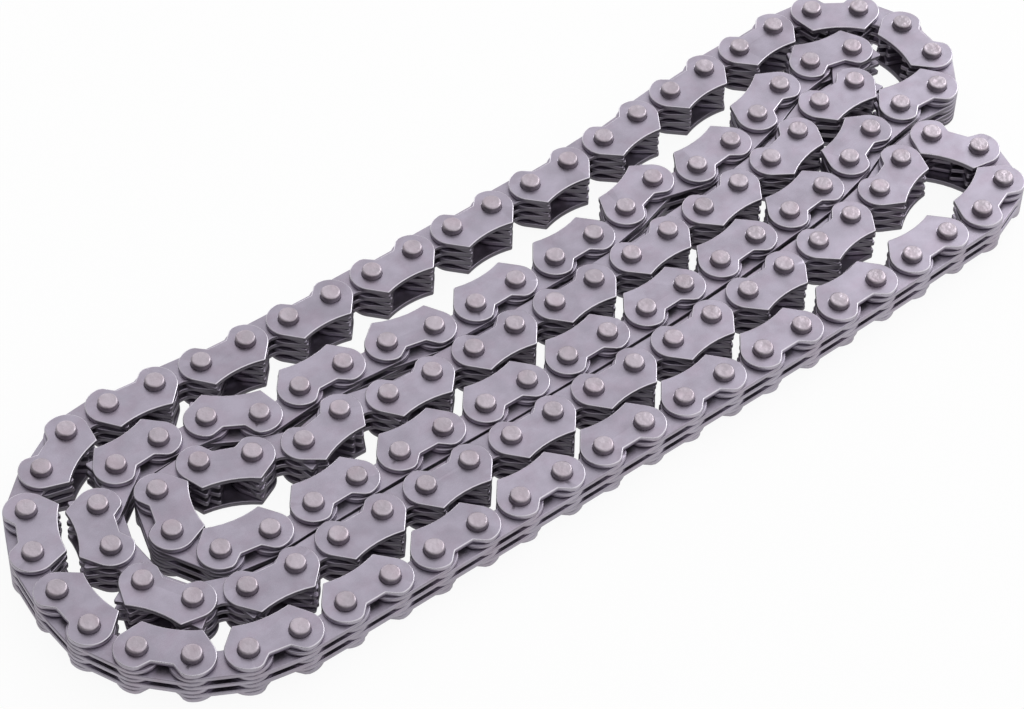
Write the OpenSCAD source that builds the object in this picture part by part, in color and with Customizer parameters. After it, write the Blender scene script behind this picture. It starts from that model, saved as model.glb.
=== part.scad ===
// Endless silent chain with outer guide plates, lying on its side in six folded strands.
// Every link is a row of plates laced between its neighbours.
// Guide rows hold two pins each, and plain rows turn on those pins.
// Lengths are in millimetres. X runs along the strands, Z is up, and the pin ends stand on Z = 0.

/* [Chain] */
// Distance between neighbouring pin axes
pitch = 6.35; // [6.35:0.05:6.5]

/* [Plates] */
// Thickness of every plate
plate_t = 0.7; // [0.5:0.05:1]
// Radius of the round ends about the pins
boss_r = 2.8; // [2.7:0.05:2.8]
// Reach of the toes and guide shoulders below the pin line
tooth_reach = 3.85; // [3.75:0.05:3.85]
// Radius at the tip of a toe or shoulder
tip_r = 0.3; // [0.2:0.05:0.4]
// Offset of a toe's tip from the pin, towards the middle of the link
toe_inset = 0.1; // [0.1:0.05:0.3]
// Offset of a guide shoulder's tip from the pin, away from the middle of the link
shoulder_offset = 0.25; // [0:0.05:0.25]
// Height of the crotch between two toes, below the pin line
crotch_drop = 0.9; // [0.7:0.05:1.3]
// Radius of the crotch
crotch_r = 2.1; // [1.6:0.05:2.2]
// Height of the guide plate's hollow back edge above the pin line
waist_h = 1.5; // [1.3:0.05:1.8]
// Length of that edge, between the feet of the hollow's sides
waist_l = 2.6; // [2:0.1:2.8]
// Slope of the hollow's sides, towards the round ends
waist_slope = 43; // [40:1:50]
// Length taken off both sides of the corner at the top of a slope
lobe_ease = 0.3; // [0.2:0.05:0.3]
// Hollow of the guide plate's edge between its shoulders
edge_sag = 0.5; // [0.2:0.05:0.9]

/* [Pins] */
// Pin diameter
pin_d = 2.5; // [1.8:0.05:2.6]
// How far a pin stands out of the guide plates
pin_proud = 0.8; // [0.3:0.05:1]
// Rounding of the pin ends
pin_round = 0.3; // [0.1:0.05:0.4]

/* [Fits] */
// Gap between neighbouring plates of the stack
lace_gap = 0.03; // [0.02:0.01:0.1]
// Radial clearance of the plain rows on the pins
run_clear = 0.04; // [0.02:0.01:0.08]
// Radial seat of the guide rows on the pins
seat_clear = 0.01; // [0.01:0.005:0.02]

/* [Lay] */
// Gap between neighbouring strands
strand_gap = 0.2; // [0.2:0.05:0.5]
// Extra room between the upper strand and the next one
open_gap = 4; // [4:0.1:4.5]
// Direction of the single link that turns the inner fold
fold_angle = 50; // [49:1:52]

/* [Hidden] */
$fn = 48;
half = pitch / 2;

// Guide links in the loop, each followed by a plain link: the route below has room for just these
guide_links = 67;
links = 2 * guide_links;

// The stack, from the lower guide plate to the upper one
guide_layers = [0, 6];
guide_tooth_layers = [2, 4];
plain_tooth_layers = [1, 3, 5];
layers = 7;
layer_h = plate_t + lace_gap;
stack_h = layers * layer_h - lace_gap;
pin_len = stack_h + 2 * pin_proud;
pin_r = pin_d / 2;
seat_r = pin_r + seat_clear;
run_r = pin_r + run_clear;

// Centres of the rounded tips, right-hand side
toe_tip = [half - toe_inset, tip_r - tooth_reach];
shoulder_tip = [half + shoulder_offset, tip_r - tooth_reach];

function heading(angle) = [cos(angle), sin(angle)];

// Back hollow of a guide plate: the foot of its right slope, and the corner at the slope's top
slope_foot = [waist_l / 2, waist_h];
slope_corner = slope_foot + (boss_r - waist_h) * [1 / tan(waist_slope), 1];
// Line that eases this corner at half the slope, drawn past the plate's edge
ease_foot = slope_corner - lobe_ease * heading(waist_slope);
ease_head = ease_foot + 3 * lobe_ease * heading(waist_slope / 2);

// Guide plate's edge between its shoulders, an arc through their tips
edge_r = (shoulder_tip[0] * shoulder_tip[0] + edge_sag * edge_sag) / (2 * edge_sag);

plate_colour = [0.62, 0.60, 0.66];
guide_colour = [0.66, 0.63, 0.69];
pin_colour = [0.71, 0.67, 0.70];

// Strand heights across the lay, counted from the strand in the middle
back_lane = 2 * boss_r + strand_gap;
tooth_lane = 2 * tooth_reach + strand_gap;
y3 = 0;
y2 = back_lane;
y1 = y2 + tooth_lane + open_gap;
y4 = -tooth_lane;
y5 = y4 - back_lane;
y6 = y5 - tooth_lane;

// The two free strands, by link number from the inner fold, and the guide link that closes them
lower_first = 43;
closing_link = 66;
upper_last = 93;

// Route of the pin line, from the inner fold round to the fold again: pitches along, millimetres across
fold_in = [9, y2 + 0.8];
route = [
    [8.75, y2 + 7.1], [7.75, y2 + 6.3], [6.9, y2 + 4.2], [5.9, y2 + 2.4], [4.9, y2 + 1.4],
    [3.95, y2 + 3.2], [3, y2 + 1.5], [2, y2 + 0.2], [0, y2], [-2, y2], [-3, y2 + 1.4],
    [-4.9, y2 + 2.2], [-5.9, y2 + 1.3], [-6.75, y2 + 4.7], [-7.7, y2 + 5.7], [-8.7, y2 + 5.8],
    [-9.6, y2 + 2.3], [-10, y3 + 2.3], [-10.05, y4 + 3.7], [-9.6, y5 + 3.6], [-8.7, y5 + 0.9],
    [-7.6, y5 + 0.1], [-6.6, y5 + 0.4], [-4.6, y5 + 0.2], [-2, y5], [1, y5], [3.4, y5 + 0.6],
    [5.4, y5 + 1.6], [6.4, y5 + 2.5], [7.35, y5 + 3.8], [8.25, y5 + 6.1], [9.1, y5 + 7.2],
    [9.65, y5 + 2.6], [9.6, y6 + 4.2], [8.75, y6 + 1.2], [7.8, y6 + 0.8], [5.8, y6 + 0.3],
    [3, y6], [0, y6], [-4, y6], [-8.2, y6 + 0.2], [-9.2, y6 + 1], [-10.2, y6 + 4.2],
    [-10.95, y5 + 1.4], [-11.35, y4 + 1.8], [-11.35, y3 + 0.3], [-11.2, y2 + 0.8],
    [-10.7, y2 + 6.7], [-9.85, y1 - 1], [-8.95, y1 + 1.8], [-7.95, y1 + 1.9], [-5.9, y1 + 0.5],
    [-3, y1], [0, y1], [3, y1 + 0.3], [5, y1 + 1.6], [6.5, y1 + 2.6], [8, y1 + 2.9],
    [9, y1 + 3.2], [10, y1 + 2], [10.7, y1 - 2.2], [11, y1 - 8.4], [10.8, y2 - 2.6],
    [10.1, y4 + 6.7], [9.2, y4 + 7.7], [8.3, y4 + 6.6], [7.35, y4 + 4.2], [6.4, y4 + 2.6],
    [5.4, y4 + 1.9], [3.4, y4 + 0.8], [1, y4 + 0.1], [-2, y4], [-4.5, y4 + 0.4],
    [-6.6, y4 + 0.4], [-7.6, y4 + 0.3], [-8.6, y4 + 1.7], [-8.95, y3 - 0.1],
    [-8.55, y3 + 5.5], [-7.5, y3 + 5.5], [-6.6, y3 + 2.6], [-5.65, y3 + 0.7], [-4.7, y3 + 2.1],
    [-3.75, y3 + 0.4], [-2.8, y3 + 0.1], [-2, y3], [1, y3], [3, y3 + 0.7], [5, y3 + 1.6],
    [6.2, y3 + 2.6], [7.2, y3 + 4.4], [8.1, y3 + 6.6]
];
samples = 6;

function laid_out(p, stretch) = [p[0] * pitch * stretch, p[1]];

function fold_in_at(stretch) = laid_out(fold_in, stretch);

function fold_out_at(stretch) = fold_in_at(stretch) + pitch * [cos(fold_angle), sin(fold_angle)];

function control_points(stretch) = concat(
    [fold_out_at(stretch)],
    [for (p = route) laid_out(p, stretch)],
    [fold_in_at(stretch)]
);

function blend(a, b, c, d, t) =
    b + t / 2 * (c - a + t * (2 * a - 5 * b + 4 * c - d + t * (3 * (b - c) + d - a)));

function smooth(c) = let (last = len(c) - 1) concat(
    [for (i = [0:last - 1]) for (s = [0:samples - 1])
        blend(c[max(i - 1, 0)], c[i], c[i + 1], c[min(i + 2, last)], s / samples)],
    [c[last]]
);

// Index of the stretch of path on which the next pin lies, one pitch from the pin at
function next_stretch(path, at, i) =
    i + 1 == len(path) ? i : norm(path[i + 1] - at) >= pitch ? i : next_stretch(path, at, i + 1);

function pin_on(a, b, at) = let (
    along = b - a,
    back = a - at,
    aa = along * along,
    ab = along * back,
    t = (sqrt(ab * ab - aa * (back * back - pitch * pitch)) - ab) / aa
) a + t * along;

function laid_pins(path, pins, i) = let (
    at = pins[len(pins) - 1],
    k = next_stretch(path, at, i)
) k + 1 == len(path) ? pins : laid_pins(path, concat(pins, [pin_on(path[k], path[k + 1], at)]), k);

// Pitches that the route holds beyond the links that have to lie on it
function surplus(stretch) = let (
    path = smooth(control_points(stretch)),
    pins = laid_pins(path, [path[0]], 0),
    rest = norm(path[len(path) - 1] - pins[len(pins) - 1])
) len(pins) - 1 + rest / pitch - (links - 1);

function closing_stretch(low, high, rounds) = let (mid = (low + high) / 2)
    rounds == 0 ? mid :
    surplus(mid) > 0 ? closing_stretch(low, mid, rounds - 1) : closing_stretch(mid, high, rounds - 1);

stretch = closing_stretch(0.7, 1.3, 36);
walked = laid_pins(smooth(control_points(stretch)), [fold_out_at(stretch)], 0);
loose_pins = [for (i = [0:links - 1]) i < links - 1 ? walked[i] : fold_in_at(stretch)];
xs = [for (p = loose_pins) p[0]];
ys = [for (p = loose_pins) p[1]];
plan_centre = [max(xs) + min(xs), max(ys) + min(ys)] / 2;
pins = [for (p = loose_pins) p - plan_centre];

// Links that stay in the coil, guide links first
function in_coil(k) = k < lower_first || k > upper_last;

coil_guides = [for (k = [0:2:links - 1]) if (in_coil(k)) k];
coil_plains = [for (k = [1:2:links - 1]) if (in_coil(k)) k];

// Links of the free strands, counted from the coil outwards
lower_plains = [for (k = [lower_first:2:closing_link - 1]) k];
lower_guides = [for (k = [lower_first + 1:2:closing_link - 2]) k];
upper_plains = [for (k = [upper_last:-2:closing_link + 1]) k];
upper_guides = [for (k = [upper_last - 1:-2:closing_link + 2]) k];

function numbered(name, i) = str(name, i < 9 ? "_0" : "_", i + 1);

function names(name, strand) = [for (i = [0:len(strand) - 1]) numbered(name, i)];

// Points at which one line touches two circles; a negative second radius gives the crossing line
function tangent(c1, r1, c2, r2) = let (
    d = c2 - c1,
    a = atan2(d[1], d[0]) + acos((r1 - r2) / norm(d)),
    n = [cos(a), sin(a)]
) [c1 + r1 * n, c2 + r2 * n];

function outer_flank(tip) = tangent([half, 0], boss_r, tip, tip_r);

function inner_flank(tip) = tangent([0, -crotch_drop - crotch_r], crotch_r, tip, -tip_r);

function both_sides(right) = concat(
    right,
    [for (i = [len(right) - 1:-1:0]) [-right[i][0], right[i][1]]]
);

// A plate without its bores, straight at the height back between its round ends, and straight between its feet
module blank(tip, back, foot) {
    flank = outer_flank(tip);
    polygon(both_sides([[half, back], flank[0], flank[1], foot]));
    for (side = [-1, 1]) {
        translate([side * half, 0]) circle(r = boss_r);
        translate([side * tip[0], tip[1]]) circle(r = tip_r);
    }
}

module bores(r) {
    for (side = [-1, 1]) {
        translate([side * half, 0]) circle(r = r);
    }
}

module toothed_outline(bore_r) {
    flank = inner_flank(toe_tip);
    difference() {
        blank(toe_tip, boss_r, flank[1]);
        translate([0, -crotch_drop - crotch_r]) circle(r = crotch_r);
        polygon(both_sides([flank[0], flank[1], [flank[1][0], -tooth_reach - tip_r]]));
        bores(bore_r);
    }
}

module guide_outline() {
    difference() {
        blank(shoulder_tip, (waist_h + boss_r) / 2, [shoulder_tip[0], -tooth_reach]);
        polygon(both_sides([slope_foot, ease_foot, ease_head]));
        translate([0, edge_sag - tooth_reach - edge_r]) circle(r = edge_r, $fn = 4 * $fn);
        bores(seat_r);
    }
}

// Carries its children from a link's own frame, teeth towards -Y, to the place of link k
module on_link(k) {
    from = pins[k];
    to = pins[(k + 1) % links];
    translate((from + to) / 2) rotate(atan2(to[1] - from[1], to[0] - from[0])) children();
}

module plates_in(rows) {
    for (row = rows) {
        translate([0, 0, pin_proud + row * layer_h]) linear_extrude(plate_t) children();
    }
}

module guide_plates(k, rows) {
    color(guide_colour) on_link(k) plates_in(rows) guide_outline();
}

module toothed_plates(k, rows, bore_r) {
    color(plate_colour) on_link(k) plates_in(rows) toothed_outline(bore_r);
}

// What the rounding takes off a pin's lower end, in the plane of its half section
module rim_waste() {
    translate([pin_r - pin_round, 0]) difference() {
        translate([0, -pin_round]) square(2 * pin_round);
        translate([0, pin_round]) circle(r = pin_round);
    }
}

module half_section(h) {
    difference() {
        square([pin_r, h]);
        rim_waste();
        children();
    }
}

module pin_at(i) {
    color(pin_colour) translate(pins[i % links]) rotate_extrude() half_section(pin_len) {
        translate([0, pin_len]) mirror([0, 1]) rim_waste();
    }
}

// The two ends of a pin alone, each as far as the inner face of its guide plate
module pin_end_pair(i) {
    color(pin_colour) translate(pins[i]) {
        rotate_extrude() half_section(pin_proud + plate_t);
        translate([0, 0, pin_len]) mirror([0, 0, 1]) rotate_extrude() half_section(pin_proud + plate_t);
    }
}

module plain_link(k) {
    toothed_plates(k, plain_tooth_layers, run_r);
}

module guide_link(k) {
    guide_plates(k, guide_layers);
    toothed_plates(k, guide_tooth_layers, seat_r);
    pin_at(k);
    pin_at(k + 1);
}

module coil_guide_plates() {
    for (k = coil_guides) {
        guide_plates(k, guide_layers);
    }
}

module coil_guide_row_toothed_plates() {
    for (k = coil_guides) {
        toothed_plates(k, guide_tooth_layers, seat_r);
    }
}

module coil_plain_row_toothed_plates() {
    for (k = coil_plains) {
        plain_link(k);
    }
}

module coil_pins() {
    for (k = coil_guides) {
        pin_at(k);
        pin_at(k + 1);
    }
}

module closing_link_guide_plates() {
    guide_plates(closing_link, guide_layers);
}

module closing_link_toothed_plates() {
    toothed_plates(closing_link, guide_tooth_layers, seat_r);
}

module closing_link_pin() {
    pin_at(closing_link);
}

// The open pivot: only the riveted ends of the pin, so that the next link can slide out between the plates
module closing_link_pin_ends() {
    pin_end_pair(closing_link + 1);
}

module plain_strand(name, strand) {
    for (i = [0:len(strand) - 1]) {
        plain_link(strand[i]);
    }
}

module guide_strand(name, strand) {
    for (i = [0:len(strand) - 1]) {
        guide_link(strand[i]);
    }
}

coil_guide_plates();
coil_guide_row_toothed_plates();
coil_plain_row_toothed_plates();
coil_pins();
plain_strand("lower_plain_link", lower_plains);
guide_strand("lower_guide_link", lower_guides);
plain_strand("upper_plain_link", upper_plains);
guide_strand("upper_guide_link", upper_guides);
closing_link_guide_plates();
closing_link_toothed_plates();
closing_link_pin();
closing_link_pin_ends();
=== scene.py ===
"""Looks of the folded silent chain: satin steel plates and riveted pins on a white studio floor."""
import math

import bpy
from mathutils import Matrix, Vector


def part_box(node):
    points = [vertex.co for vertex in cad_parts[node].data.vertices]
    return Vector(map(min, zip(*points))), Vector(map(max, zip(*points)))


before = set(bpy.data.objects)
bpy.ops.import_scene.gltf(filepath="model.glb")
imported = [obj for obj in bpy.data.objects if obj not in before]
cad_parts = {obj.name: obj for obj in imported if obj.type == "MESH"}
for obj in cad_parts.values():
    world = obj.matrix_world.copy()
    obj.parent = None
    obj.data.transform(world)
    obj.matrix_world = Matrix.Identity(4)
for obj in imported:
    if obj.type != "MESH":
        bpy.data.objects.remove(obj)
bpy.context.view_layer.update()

# Lengths are in metres, unless their names say otherwise.

# The photograph's camera, found from the pins: the strands run at RUN_ANGLE to its picture plane.
# CAMERA_GROUND is how far it stands to the right of the part's origin and beyond it.
IMAGE_WIDTH_PX = 1024
FOCAL_PX = 3365.04
SENSOR_WIDTH_MM = 36.0
ELEVATION = math.radians(48.034)
ROLL = math.radians(2.179)
RUN_ANGLE = math.radians(40.5)
CAMERA_GROUND = Vector((-0.003593, -0.280375))
CAMERA_OVER_PLATES = 0.30375
CAMERA_CLIP_START = 0.01

# Heights of the guide plates' outer faces, between which everything but the pin ends lies
STACK_LOW, STACK_HIGH = (corner[2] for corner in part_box("coil_guide_plates"))
STACK_MIDDLE = (STACK_LOW + STACK_HIGH) / 2
STACK_HALF = (STACK_HIGH - STACK_LOW) / 2
FACE_MARGIN = 0.00001

# Edges. Plain rows lie inside the stack, where fewer segments will do.
EDGE_ROUND = 0.00015
EDGE_ANGLE = math.radians(40)
EDGE_SEGMENTS = 2
PLAIN_EDGE_SEGMENTS = 1
WELD_REACH = 0.000001
SAME_PLANE = math.radians(0.5)


def from_ground(x, y, z):
    """A place given to the right of the camera, away from it and up, in the part's own frame."""
    c, s = math.cos(RUN_ANGLE), math.sin(RUN_ANGLE)
    return Vector((x * c + y * s, y * c - x * s, z))


def grey(value):
    return (value, value, value, 1.0)


class Nodes:
    """Short ways to add and join shader nodes in one tree."""

    # A Mix node has sockets for every type of value: these are the ones for colours.
    MIX_FACTOR, MIX_A, MIX_B = 0, 6, 7
    MIX_RESULT = 2

    def __init__(self, tree):
        self.tree = tree

    def add(self, kind, **settings):
        node = self.tree.nodes.new(kind)
        for key, value in settings.items():
            setattr(node, key, value)
        return node

    def join(self, source, target):
        self.tree.links.new(source, target)

    def put(self, socket, value):
        """Join another node's output to a socket, or set a fixed value on it."""
        if isinstance(value, bpy.types.NodeSocket):
            self.join(value, socket)
        else:
            socket.default_value = value

    def math(self, operation, *values):
        node = self.add("ShaderNodeMath", operation=operation)
        for socket, value in zip(node.inputs, values):
            self.put(socket, value)
        return node.outputs[0]

    def ramp(self, value, low, high, out_low=0.0, out_high=1.0):
        node = self.add("ShaderNodeMapRange", interpolation_type="SMOOTHSTEP")
        for socket, setting in zip(node.inputs, (value, low, high, out_low, out_high)):
            self.put(socket, setting)
        return node.outputs[0]

    def mix(self, factor, a, b, blend="MIX"):
        node = self.add("ShaderNodeMix", data_type="RGBA", blend_type=blend)
        self.put(node.inputs[self.MIX_FACTOR], factor)
        self.put(node.inputs[self.MIX_A], a)
        self.put(node.inputs[self.MIX_B], b)
        return node.outputs[self.MIX_RESULT]

    def scaled(self, vector, scale):
        node = self.add("ShaderNodeMapping")
        self.join(vector, node.inputs["Vector"])
        node.inputs["Scale"].default_value = scale
        return node.outputs[0]

    def split(self, vector):
        """The outputs X, Y and Z of a vector."""
        node = self.add("ShaderNodeSeparateXYZ")
        self.join(vector, node.inputs[0])
        return node.outputs

    def dot(self, vector, fixed):
        node = self.add("ShaderNodeVectorMath", operation="DOT_PRODUCT")
        self.join(vector, node.inputs[0])
        node.inputs[1].default_value = fixed
        return node.outputs["Value"]

    def noise(self, vector, scale, detail, roughness):
        node = self.add("ShaderNodeTexNoise")
        self.join(vector, node.inputs["Vector"])
        node.inputs["Scale"].default_value = scale
        node.inputs["Detail"].default_value = detail
        node.inputs["Roughness"].default_value = roughness
        return node.outputs[0]

    def white_light(self, kind, strength):
        node = self.add(kind)
        node.inputs["Color"].default_value = grey(1.0)
        self.put(node.inputs["Strength"], strength)
        return node.outputs[0]

    def blend(self, factor, first, second):
        """A mix of two shaders."""
        node = self.add("ShaderNodeMixShader")
        for socket, source in zip(node.inputs, (factor, first, second)):
            self.join(source, socket)
        return node.outputs[0]


# Steel colours, and the greatest shares of the rim's painted highlight and of the stains
PLATE_FACE = (0.385, 0.352, 0.425, 1.0)
# The plates' sheared sides, lighter than the faces: painted light on the walls
PLATE_SIDE_LIT = (0.43, 0.4, 0.46, 1.0)
# Painted highlight on the plates' rims
PLATE_RIM_HIGHLIGHT = (0.74, 0.71, 0.77, 1.0)
PIN_HEAD = (0.46, 0.41, 0.46, 1.0)
# Darker than the heads: painted shade on the pin walls
PIN_SIDE_SHADED = (0.29, 0.26, 0.29, 1.0)
STAINED = (0.94, 0.86, 0.88, 1.0)
RIM_HIGHLIGHT_SHARE = 0.75
STAIN_SHARE = 0.5

# Where a surface turns from side to rim to face: the upright share of its normal, from 0 to 1
SIDE_TO_FACE = (0.35, 0.75)
SIDE_TO_RIM = (0.25, 0.45)
FACE_TO_RIM = (0.995, 0.95)

# Patterns in the steel, in millimetres: scale, detail and roughness of each noise, and its stretch
MM_IN_M = 1000.0
CLOUD = (0.32, 3.0, 0.55)
STAIN = (0.5, 4.0, 0.6)
DENTS = (1.1, 2.0, 0.5)
GRAIN = (9.0, 4.0, 0.65)
STREAKS = (1.0, 3.0, 0.6)
STAIN_STRETCH = (-0.7, 0.8, 0.6)
STREAK_STRETCH = (0.6, 7.0, 7.0)

# Spans of the noise in use, since it stays near its middle, and what is made of their two ends
NOISE_SPAN = (0.3, 0.7)
STAIN_SPAN = (0.42, 0.68)
STREAK_SPAN = (0.35, 0.65)
CLOUD_SHADE = (0.88, 1.06)
ISLAND_SHADE = (-0.05, 0.05)
GRAIN_SHADE = (-0.07, 0.07)
CLOUD_ROUGHNESS = (0.34, 0.44)
STREAK_ROUGHNESS = (-0.03, 0.04)
RIM_POLISH = 0.1

# Relief, with the streaks and the dents of the riveted ends measured against the grain
RELIEF_STRENGTH = 0.25
RELIEF_DEPTH = 0.00001
STREAK_RELIEF = 0.5
DENT_RELIEF = 60.0


def plate_steel():
    """Satin steel: ground faces, sheared sides lightened by painted light, polished rims with a
    painted highlight, and a warmer tint on the pin ends, whose sides are darkened by painted shade.
    """
    material = bpy.data.materials.new("plate_steel")
    material.use_nodes = True
    n = Nodes(material.node_tree)
    shader = material.node_tree.nodes["Principled BSDF"]
    shader.inputs["Metallic"].default_value = 1.0

    # Object coordinates, so that the patterns go along with a link that swings
    geometry = n.add("ShaderNodeNewGeometry").outputs
    spot = n.add("ShaderNodeTexCoord").outputs["Object"]
    spot_mm = n.scaled(spot, (MM_IN_M, MM_IN_M, MM_IN_M))
    upright = n.math("ABSOLUTE", n.split(geometry["Normal"])["Z"])
    off_middle = n.math("ABSOLUTE", n.math("SUBTRACT", n.split(spot)["Z"], STACK_MIDDLE))

    cloud = n.noise(spot_mm, *CLOUD)
    stain = n.noise(n.scaled(spot_mm, STAIN_STRETCH), *STAIN)
    dents = n.noise(spot_mm, *DENTS)
    grain = n.noise(spot_mm, *GRAIN)
    streaks = n.noise(n.scaled(spot_mm, STREAK_STRETCH), *STREAKS)

    # Rims are the rounded edges of the two outermost faces of the stack; they get a painted
    # highlight and less roughness.
    on_face = n.ramp(upright, *SIDE_TO_FACE)
    on_pin = n.math("GREATER_THAN", off_middle, STACK_HALF + FACE_MARGIN)
    outermost = n.math("GREATER_THAN", off_middle, STACK_HALF - EDGE_ROUND)
    on_rim = n.math("MULTIPLY", n.ramp(upright, *SIDE_TO_RIM), n.ramp(upright, *FACE_TO_RIM))
    on_rim = n.math("MULTIPLY", on_rim, n.math("SUBTRACT", outermost, on_pin))

    shade = n.math("ADD", n.ramp(cloud, *NOISE_SPAN, *CLOUD_SHADE),
                   n.ramp(geometry["Random Per Island"], 0.0, 1.0, *ISLAND_SHADE))
    shade = n.math("ADD", shade, n.ramp(grain, *NOISE_SPAN, *GRAIN_SHADE))
    shade_colour = n.add("ShaderNodeCombineColor")
    for socket in shade_colour.inputs:
        n.join(shade, socket)
    # Painted light: plate sides take their lighter colour by the upright share of the normal
    colour = n.mix(on_face, PLATE_SIDE_LIT, PLATE_FACE)
    # Painted shade: the pin walls take their darker colour
    colour = n.mix(on_pin, colour, n.mix(on_face, PIN_SIDE_SHADED, PIN_HEAD))
    colour = n.mix(1.0, colour, shade_colour.outputs[0], "MULTIPLY")
    colour = n.mix(n.ramp(stain, *STAIN_SPAN, 0.0, STAIN_SHARE), colour, STAINED, "MULTIPLY")
    # Painted highlight along the rims of the outermost plates
    colour = n.mix(n.math("MULTIPLY", on_rim, RIM_HIGHLIGHT_SHARE), colour, PLATE_RIM_HIGHLIGHT)
    n.join(colour, shader.inputs["Base Color"])

    rough = n.math("ADD", n.ramp(cloud, *NOISE_SPAN, *CLOUD_ROUGHNESS),
                   n.ramp(streaks, *STREAK_SPAN, *STREAK_ROUGHNESS))
    rough = n.math("SUBTRACT", rough, n.math("MULTIPLY", on_rim, RIM_POLISH))
    n.join(rough, shader.inputs["Roughness"])

    bump = n.add("ShaderNodeBump")
    bump.inputs["Strength"].default_value = RELIEF_STRENGTH
    bump.inputs["Distance"].default_value = RELIEF_DEPTH
    riveted = n.math("MULTIPLY", dents, on_pin)
    relief = n.math("ADD", grain, n.math("MULTIPLY", streaks, STREAK_RELIEF))
    relief = n.math("ADD", relief, n.math("MULTIPLY", riveted, DENT_RELIEF))
    n.join(relief, bump.inputs["Height"])
    n.join(bump.outputs[0], shader.inputs["Normal"])
    return material


def round_edges(part, segments):
    """Round a node's sharp edges and keep its faces flat.

    The node's mesh comes in triangles, and cut apart along these edges, so it is first made whole.
    """
    weld = part.modifiers.new("weld_corners", "WELD")
    weld.merge_threshold = WELD_REACH
    whole = part.modifiers.new("whole_faces", "DECIMATE")
    whole.decimate_type = "DISSOLVE"
    whole.angle_limit = SAME_PLANE
    edge = part.modifiers.new("edge_round", "BEVEL")
    edge.width = EDGE_ROUND
    edge.segments = segments
    edge.limit_method = "ANGLE"
    edge.angle_limit = EDGE_ANGLE
    edge.use_clamp_overlap = False
    edge.loop_slide = False
    edge.face_strength_mode = "FSTR_ALL"
    flat = part.modifiers.new("flat_faces", "WEIGHTED_NORMAL")
    flat.use_face_influence = True


steel = plate_steel()
for name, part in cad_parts.items():
    part.data.materials.clear()
    part.data.materials.append(steel)
    round_edges(part, PLAIN_EDGE_SEGMENTS if "plain" in name else EDGE_SEGMENTS)

# Floor. The chain covers a stadium of LAY_HALF_RUN and LAY_HALF_WIDTH, with a blurred edge.
FLOOR_HALF = 3.0
FLOOR_GREY = 0.9
FLOOR_WHITE_SHARE = 0.93
LAY_HALF_RUN = 0.05
LAY_HALF_WIDTH = 0.024
LAY_BLUR_INSIDE = 0.004
LAY_BLUR_OUTSIDE = 0.002
LAY_EDGE = (LAY_HALF_WIDTH - LAY_BLUR_INSIDE, LAY_HALF_WIDTH + LAY_BLUR_OUTSIDE)
LAY_MIRRORED = (0.28, 1.0)
LIGHT_SIDE = from_ground(0.8, 0.6, 0)
LIGHT_SIDE_SPAN = (-0.1, 0.1)
LIGHT_SIDE_MIRRORED = (0.8, 1.0)


def floor_white():
    """White to the eye. Reflections see it dark under the chain and bright on the light's side."""
    material = bpy.data.materials.new("floor_white")
    material.use_nodes = True
    n = Nodes(material.node_tree)
    material.node_tree.nodes.clear()
    rays = n.add("ShaderNodeLightPath").outputs
    spot = n.add("ShaderNodeNewGeometry").outputs["Position"]
    along, aside, _ = n.split(spot)
    # Painted shadow and light, seen only in reflections: the floor's glow is dimmed under the chain
    # and raised on the light's side
    past_run = n.math("SUBTRACT", n.math("ABSOLUTE", along), LAY_HALF_RUN)
    past_run = n.math("MAXIMUM", past_run, 0.0)
    reach = n.math("ADD", n.math("MULTIPLY", past_run, past_run), n.math("MULTIPLY", aside, aside))
    outside = n.ramp(n.math("SQRT", reach), *LAY_EDGE, *LAY_MIRRORED)
    lit = n.ramp(n.dot(spot, LIGHT_SIDE), *LIGHT_SIDE_SPAN, *LIGHT_SIDE_MIRRORED)
    mirrored = n.math("MULTIPLY", rays["Is Glossy Ray"], n.math("MULTIPLY", outside, lit))
    glow = n.white_light("ShaderNodeEmission", n.math("ADD", rays["Is Camera Ray"], mirrored))
    diffuse = n.add("ShaderNodeBsdfDiffuse")
    diffuse.inputs["Color"].default_value = grey(FLOOR_GREY)
    seen = n.math("MULTIPLY", rays["Is Camera Ray"], FLOOR_WHITE_SHARE)
    seen = n.math("MAXIMUM", seen, rays["Is Glossy Ray"])
    surface = n.blend(seen, diffuse.outputs[0], glow)
    n.join(surface, n.add("ShaderNodeOutputMaterial").inputs["Surface"])
    return material


floor_mesh = bpy.data.meshes.new("floor")
floor_corners = [(-1, -1), (1, -1), (1, 1), (-1, 1)]
floor_mesh.from_pydata([(FLOOR_HALF * x, FLOOR_HALF * y, 0) for x, y in floor_corners],
                       [], [(0, 1, 2, 3)])
floor_mesh.materials.append(floor_white())
floor = bpy.data.objects.new("floor", floor_mesh)
bpy.context.scene.collection.objects.link(floor)

# The studio's own light, from all round: its bright side, and its levels away from and at that side
DOME_SIDE = from_ground(0.62, 0.52, 0.59).normalized()
DOME_SPAN = (-0.6, 0.9)
DOME_LEVELS = (0.22, 1.1)


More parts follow.
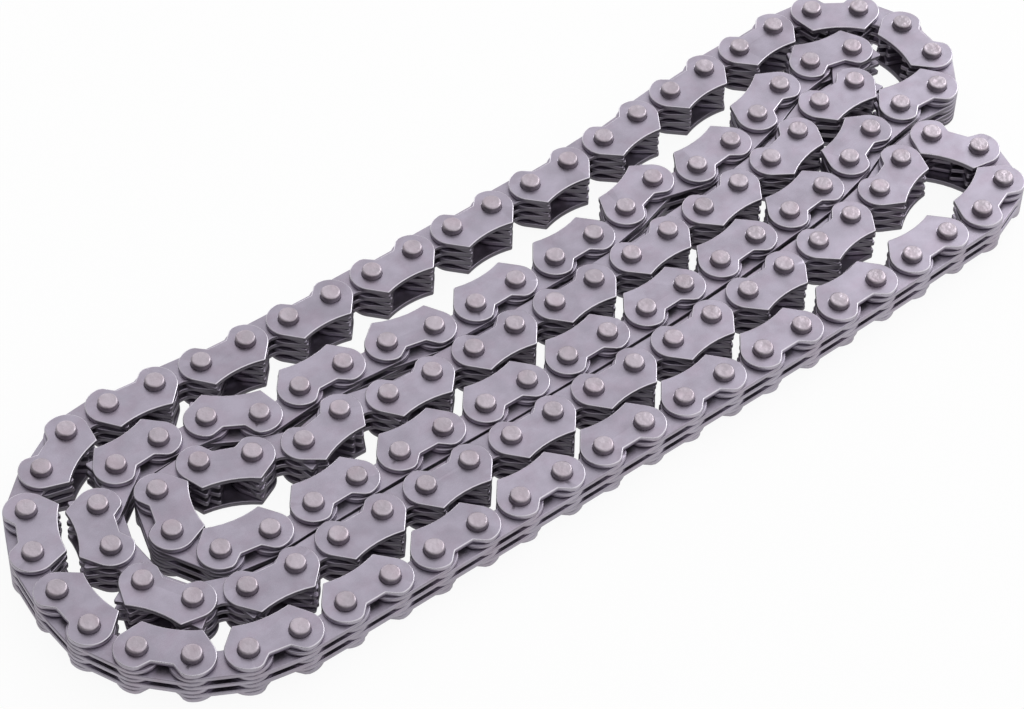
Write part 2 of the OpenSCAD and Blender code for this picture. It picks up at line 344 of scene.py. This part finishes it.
def studio():
    """White to the eye. To all else it is a room, bright behind on the right and dark in front."""
    world = bpy.data.worlds.new("studio")
    world.use_nodes = True
    n = Nodes(world.node_tree)
    world.node_tree.nodes.clear()
    facing = n.dot(n.add("ShaderNodeTexCoord").outputs["Generated"], DOME_SIDE)
    dome = n.white_light("ShaderNodeBackground", n.ramp(facing, *DOME_SPAN, *DOME_LEVELS))
    paper = n.white_light("ShaderNodeBackground", 1.0)
    rays = n.add("ShaderNodeLightPath").outputs
    surface = n.blend(rays["Is Camera Ray"], dome, paper)
    n.join(surface, n.add("ShaderNodeOutputWorld").inputs["Surface"])
    return world


def softbox(name, place, size, power):
    """A square lamp that points at the middle of the lay."""
    light = bpy.data.lights.new(name, "AREA")
    light.shape = "SQUARE"
    light.size = size
    light.energy = power
    lamp = bpy.data.objects.new(name, light)
    lamp.location = place
    lamp.rotation_euler = (-place).to_track_quat("-Z", "Y").to_euler()
    bpy.context.scene.collection.objects.link(lamp)


bpy.context.scene.world = studio()
softbox("key", from_ground(0.25, 0.3, 0.25), size=0.2, power=0.44)
softbox("rim", from_ground(-0.35, 0.7, 0.12), size=0.3, power=0.4)

camera_data = bpy.data.cameras.new("camera")
camera_data.sensor_width = SENSOR_WIDTH_MM
camera_data.lens = FOCAL_PX * SENSOR_WIDTH_MM / IMAGE_WIDTH_PX
camera_data.clip_start = CAMERA_CLIP_START
camera = bpy.data.objects.new("camera", camera_data)
bpy.context.scene.collection.objects.link(camera)
right = from_ground(1, 0, 0)
ahead = from_ground(0, math.cos(ELEVATION), -math.sin(ELEVATION))
up = right.cross(ahead)
turned_right = math.cos(ROLL) * right + math.sin(ROLL) * up
turned_up = math.cos(ROLL) * up - math.sin(ROLL) * right
turn = Matrix((turned_right, turned_up, -ahead)).transposed().to_4x4()
camera_place = from_ground(CAMERA_GROUND.x, CAMERA_GROUND.y, STACK_HIGH + CAMERA_OVER_PLATES)
camera.matrix_world = Matrix.Translation(camera_place) @ turn
bpy.context.scene.camera = camera

bpy.context.scene.view_settings.view_transform = "Standard"
